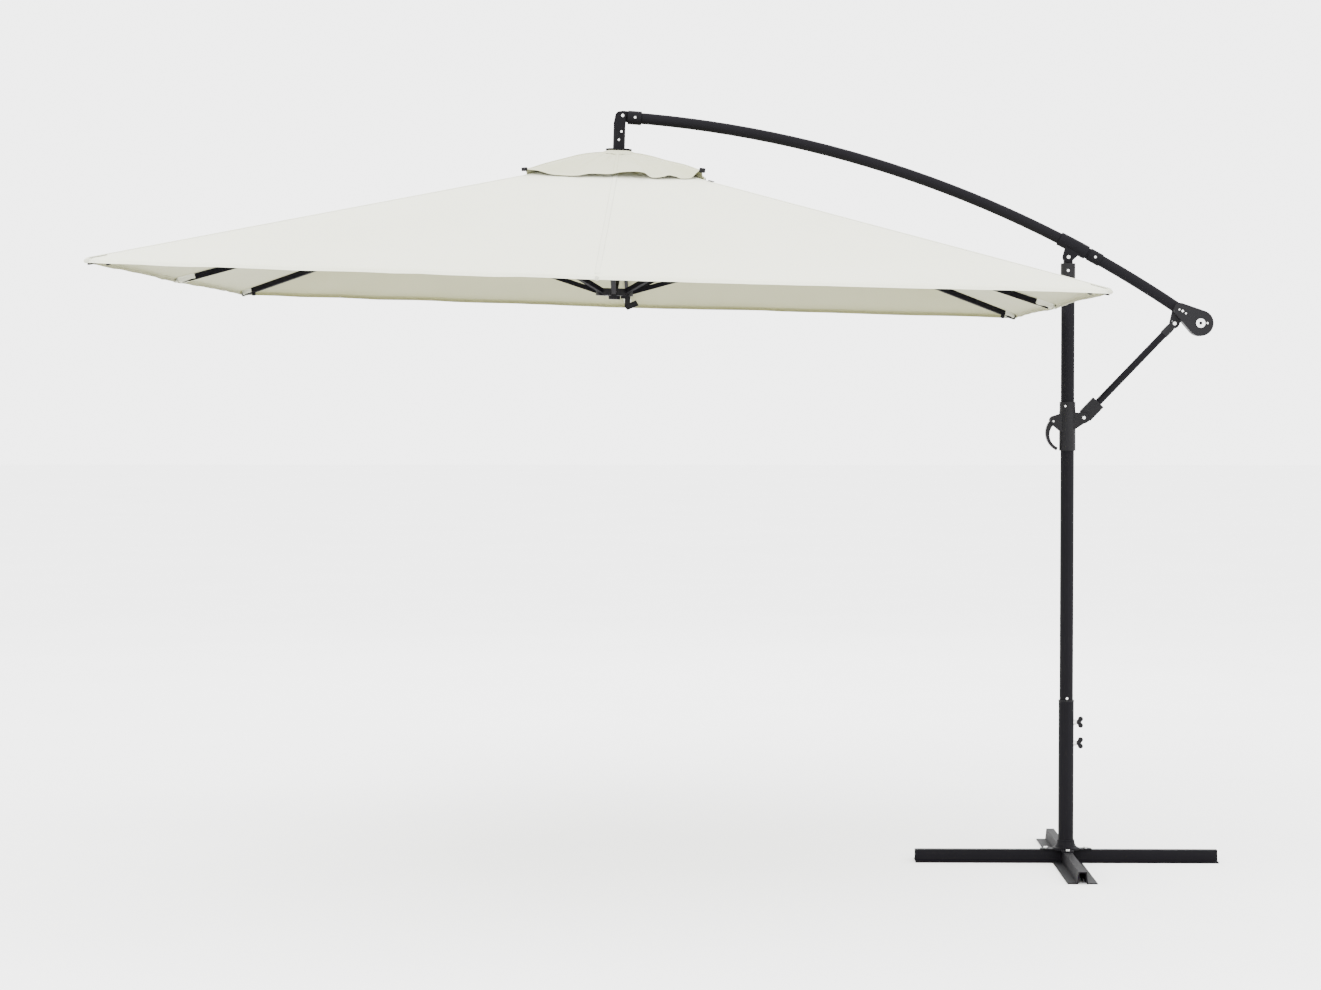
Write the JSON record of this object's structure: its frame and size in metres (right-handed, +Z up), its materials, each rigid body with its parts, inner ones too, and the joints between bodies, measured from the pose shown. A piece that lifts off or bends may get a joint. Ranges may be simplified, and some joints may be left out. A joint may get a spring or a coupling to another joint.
{
  "type": "cantilever parasol",
  "caption": "Cantilever parasol: square vented canopy hung from a curved boom arm on an offset mast with a cross base, sliding tilt collar and crank.",
  "frame": {"origin": "on the ground on the mast's axis, at the middle of the cross base", "axes": "+Z up, +X from the mast towards the crank, so the canopy hangs towards -X, and +Y towards the side that carries the crank handle"},
  "size_m": [3.5535, 3.003, 2.5545],
  "materials": {
    "steel_frame": "anthracite powder coat on steel",
    "arm_frame": "anthracite powder coat on aluminium",
    "rib_frame": "anthracite powder coat on thin aluminium tube",
    "moulded_black": "fine grained glass filled nylon",
    "collar_lining": "smooth sliding liner",
    "lever_plastic": "semi gloss moulded lever",
    "grip_plastic": "fine grained grip",
    "bright_ring": "bright ring",
    "zinc_fasteners": "zinc plated",
    "canopy_cloth": "ivory woven polyester"
  },
  "bodies": {
    "base": {"cross_leg_long": "steel_frame", "cross_leg_front": "steel_frame", "cross_leg_rear": "steel_frame", "foot_plate": "steel_frame", "foot_skirt": "steel_frame", "foot_tube": "steel_frame", "foot_tube_bush": "moulded_black", "flange_bolts": "zinc_fasteners", "screw_nuts": "zinc_fasteners"},
    "upper_wing_screw": {"wing_screw_upper": "moulded_black"},
    "lower_wing_screw": {"wing_screw_lower": "moulded_black"},
    "mast": {"mast_tube": "steel_frame", "mast_top_cap": "moulded_black", "mast_rivets": "zinc_fasteners"},
    "arm": {"arm_tube_front": "arm_frame", "arm_tube_rear": "arm_frame", "arm_pivot_bracket": "arm_frame", "arm_joint_sleeve": "arm_frame", "elbow_fitting": "arm_frame", "arm_fasteners": "zinc_fasteners", "crank_housing_near": "moulded_black", "crank_housing_far": "moulded_black", "crank_bearing_ring": "bright_ring"},
    "crank": {"crank_spindle": "moulded_black", "crank_arm": "moulded_black"},
    "grip": {"crank_grip": "grip_plastic"},
    "strut": {"strut_tube": "arm_frame", "strut_socket": "moulded_black", "strut_clevis": "moulded_black", "strut_top_pin": "zinc_fasteners"},
    "collar": {"collar_shell": "moulded_black", "collar_liner": "collar_lining", "collar_pins": "zinc_fasteners"},
    "lever": {"lock_lever": "lever_plastic"},
    "canopy": {"hanger_post": "arm_frame", "post_rivets": "zinc_fasteners", "top_flange": "arm_frame", "crown_hub": "moulded_black", "crown_pins": "zinc_fasteners", "vent_cover": "canopy_cloth", "canopy_cover": "canopy_cloth"},
    "runner": {"runner_hub": "moulded_black", "runner_pins": "zinc_fasteners", "runner_hook": "moulded_black"},
    "rib_body_1": {"rib_1": "rib_frame"},
    "stretcher_body_1": {"stretcher_1": "rib_frame"},
    "rib_body_2": {"rib_2": "rib_frame"},
    "stretcher_body_2": {"stretcher_2": "rib_frame"},
    "rib_body_3": {"rib_3": "rib_frame"},
    "stretcher_body_3": {"stretcher_3": "rib_frame"},
    "rib_body_4": {"rib_4": "rib_frame"},
    "stretcher_body_4": {"stretcher_4": "rib_frame"},
    "rib_body_5": {"rib_5": "rib_frame"},
    "stretcher_body_5": {"stretcher_5": "rib_frame"},
    "rib_body_6": {"rib_6": "rib_frame"},
    "stretcher_body_6": {"stretcher_6": "rib_frame"},
    "rib_body_7": {"rib_7": "rib_frame"},
    "stretcher_body_7": {"stretcher_7": "rib_frame"},
    "rib_body_8": {"rib_8": "rib_frame"},
    "stretcher_body_8": {"stretcher_8": "rib_frame"}
  },
  "joints": [
    {"name": "mast_swivel", "type": "hinge", "parent": "base", "child": "mast", "pos_m": [0, 0, 0.5], "axis": [0, 0, 1], "continuous": true},
    {"name": "upper_wing_screw_turn", "type": "hinge", "parent": "base", "child": "upper_wing_screw", "pos_m": [0.04, 0, 0.475], "axis": [1, 0, 0], "continuous": true},
    {"name": "lower_wing_screw_turn", "type": "hinge", "parent": "base", "child": "lower_wing_screw", "pos_m": [0.04, 0, 0.404], "axis": [1, 0, 0], "continuous": true},
    {"name": "arm_tilt", "type": "hinge", "parent": "mast", "child": "arm", "pos_m": [0, 0, 2.056], "axis": [0, 1, 0], "range_deg": [-24, 0]},
    {"name": "collar_slide", "type": "slide", "parent": "mast", "child": "collar", "axis": [0, 0, 1], "range_m": [0, 0.23758]},
    {"name": "strut_foot_pivot", "type": "hinge", "parent": "collar", "child": "strut", "pos_m": [0.054, 0, 1.512], "axis": [0, 1, 0], "range_deg": [0, 12.17]},
    {"name": "lever_release", "type": "hinge", "parent": "collar", "child": "lever", "pos_m": [-0.049, 0, 1.5], "axis": [0, 1, 0], "range_deg": [0, 15], "stiffness_Nm_per_rad": 2},
    {"name": "canopy_hang", "type": "hinge", "parent": "arm", "child": "canopy", "pos_m": [-1.51, 0, 2.536], "axis": [0, 1, 0], "range_deg": [0, 24]},
    {"name": "canopy_fold", "type": "hinge", "parent": "canopy", "child": "rib_body_1", "pos_m": [-1.47373, 0, 2.36644], "axis": [0, 1, 0], "range_deg": [0, 63], "deforming": ["canopy_cover", "vent_cover"]},
    {"name": "stretcher_1_hinge", "type": "hinge", "parent": "rib_body_1", "child": "stretcher_body_1", "pos_m": [-0.77259, 0, 2.1298], "axis": [0, 1, 0], "range_deg": [-126, 0]},
    {"name": "rib_2_hinge", "type": "hinge", "parent": "canopy", "child": "rib_body_2", "pos_m": [-1.48896, 0.03677, 2.3669], "axis": [-0.7068, 0.7071, 0.0216], "range_deg": [0, 67.78]},
    {"name": "stretcher_2_hinge", "type": "hinge", "parent": "rib_body_2", "child": "stretcher_body_2", "pos_m": [-0.99511, 0.53536, 2.20381], "axis": [-0.7068, 0.7071, 0.0216], "range_deg": [-126.12, 0]},
    {"name": "rib_3_hinge", "type": "hinge", "parent": "canopy", "child": "rib_body_3", "pos_m": [-1.52571, 0.052, 2.36803], "axis": [-0.9995, 0, 0.0305], "range_deg": [0, 63]},
    {"name": "stretcher_3_hinge", "type": "hinge", "parent": "rib_body_3", "child": "stretcher_body_3", "pos_m": [-1.53228, 0.76004, 2.15301], "axis": [-0.9995, 0, 0.0305], "range_deg": [-126, 0]},
    {"name": "rib_4_hinge", "type": "hinge", "parent": "canopy", "child": "rib_body_4", "pos_m": [-1.56246, 0.03677, 2.36915], "axis": [-0.7068, -0.7071, 0.0216], "range_deg": [0, 67.78]},
    {"name": "stretcher_4_hinge", "type": "hinge", "parent": "rib_body_4", "child": "stretcher_body_4", "pos_m": [-2.06534, 0.53536, 2.2365], "axis": [-0.7068, -0.7071, 0.0216], "range_deg": [-126.12, 0]},
    {"name": "rib_5_hinge", "type": "hinge", "parent": "canopy", "child": "rib_body_5", "pos_m": [-1.57769, 0, 2.36961], "axis": [0, -1, 0], "range_deg": [0, 63]},
    {"name": "stretcher_5_hinge", "type": "hinge", "parent": "rib_body_5", "child": "stretcher_body_5", "pos_m": [-2.29197, 0, 2.17622], "axis": [0, -1, 0], "range_deg": [-126, 0]},
    {"name": "rib_6_hinge", "type": "hinge", "parent": "canopy", "child": "rib_body_6", "pos_m": [-1.56246, -0.03677, 2.36915], "axis": [0.7068, -0.7071, -0.0216], "range_deg": [0, 67.78]},
    {"name": "stretcher_6_hinge", "type": "hinge", "parent": "rib_body_6", "child": "stretcher_body_6", "pos_m": [-2.06534, -0.53536, 2.2365], "axis": [0.7068, -0.7071, -0.0216], "range_deg": [-126.12, 0]},
    {"name": "rib_7_hinge", "type": "hinge", "parent": "canopy", "child": "rib_body_7", "pos_m": [-1.52571, -0.052, 2.36803], "axis": [0.9995, 0, -0.0305], "range_deg": [0, 63]},
    {"name": "stretcher_7_hinge", "type": "hinge", "parent": "rib_body_7", "child": "stretcher_body_7", "pos_m": [-1.53228, -0.76004, 2.15301], "axis": [0.9995, 0, -0.0305], "range_deg": [-126, 0]},
    {"name": "rib_8_hinge", "type": "hinge", "parent": "canopy", "child": "rib_body_8", "pos_m": [-1.48896, -0.03677, 2.3669], "axis": [0.7068, 0.7071, -0.0216], "range_deg": [0, 67.78]},
    {"name": "stretcher_8_hinge", "type": "hinge", "parent": "rib_body_8", "child": "stretcher_body_8", "pos_m": [-0.99511, -0.53536, 2.20381], "axis": [0.7068, 0.7071, -0.0216], "range_deg": [-126.12, 0]},
    {"name": "runner_hinge", "type": "hinge", "parent": "stretcher_body_1", "child": "runner", "pos_m": [-1.48687, 0, 1.9364], "axis": [0, 1, 0], "range_deg": [0, 63]},
    {"name": "crank_turn", "type": "hinge", "parent": "arm", "child": "crank", "pos_m": [0.446, 0, 1.832], "axis": [0, 1, 0], "range_deg": [0, 3096]},
    {"name": "grip_spin", "type": "hinge", "parent": "crank", "child": "grip", "pos_m": [0.33185, 0.07, 1.91305], "axis": [0, 1, 0], "continuous": true}
  ],
  "couplings": [
    {"joint": "collar_slide", "follows": "arm_tilt", "m_per_rad": -0.56719},
    {"joint": "strut_foot_pivot", "follows": "arm_tilt", "ratio": -0.50727},
    {"joint": "canopy_hang", "follows": "arm_tilt", "ratio": -1},
    {"joint": "stretcher_1_hinge", "follows": "canopy_fold", "ratio": -2},
    {"joint": "rib_2_hinge", "follows": "canopy_fold", "ratio": 1.0758},
    {"joint": "stretcher_2_hinge", "follows": "canopy_fold", "ratio": -2.002},
    {"joint": "rib_3_hinge", "follows": "canopy_fold", "ratio": 1},
    {"joint": "stretcher_3_hinge", "follows": "canopy_fold", "ratio": -2},
    {"joint": "rib_4_hinge", "follows": "canopy_fold", "ratio": 1.0758},
    {"joint": "stretcher_4_hinge", "follows": "canopy_fold", "ratio": -2.002},
    {"joint": "rib_5_hinge", "follows": "canopy_fold", "ratio": 1},
    {"joint": "stretcher_5_hinge", "follows": "canopy_fold", "ratio": -2},
    {"joint": "rib_6_hinge", "follows": "canopy_fold", "ratio": 1.0758},
    {"joint": "stretcher_6_hinge", "follows": "canopy_fold", "ratio": -2.002},
    {"joint": "rib_7_hinge", "follows": "canopy_fold", "ratio": 1},
    {"joint": "stretcher_7_hinge", "follows": "canopy_fold", "ratio": -2},
    {"joint": "rib_8_hinge", "follows": "canopy_fold", "ratio": 1.0758},
    {"joint": "stretcher_8_hinge", "follows": "canopy_fold", "ratio": -2.002},
    {"joint": "runner_hinge", "follows": "canopy_fold", "ratio": 1},
    {"joint": "crank_turn", "follows": "canopy_fold", "ratio": 49.143}
  ]
}
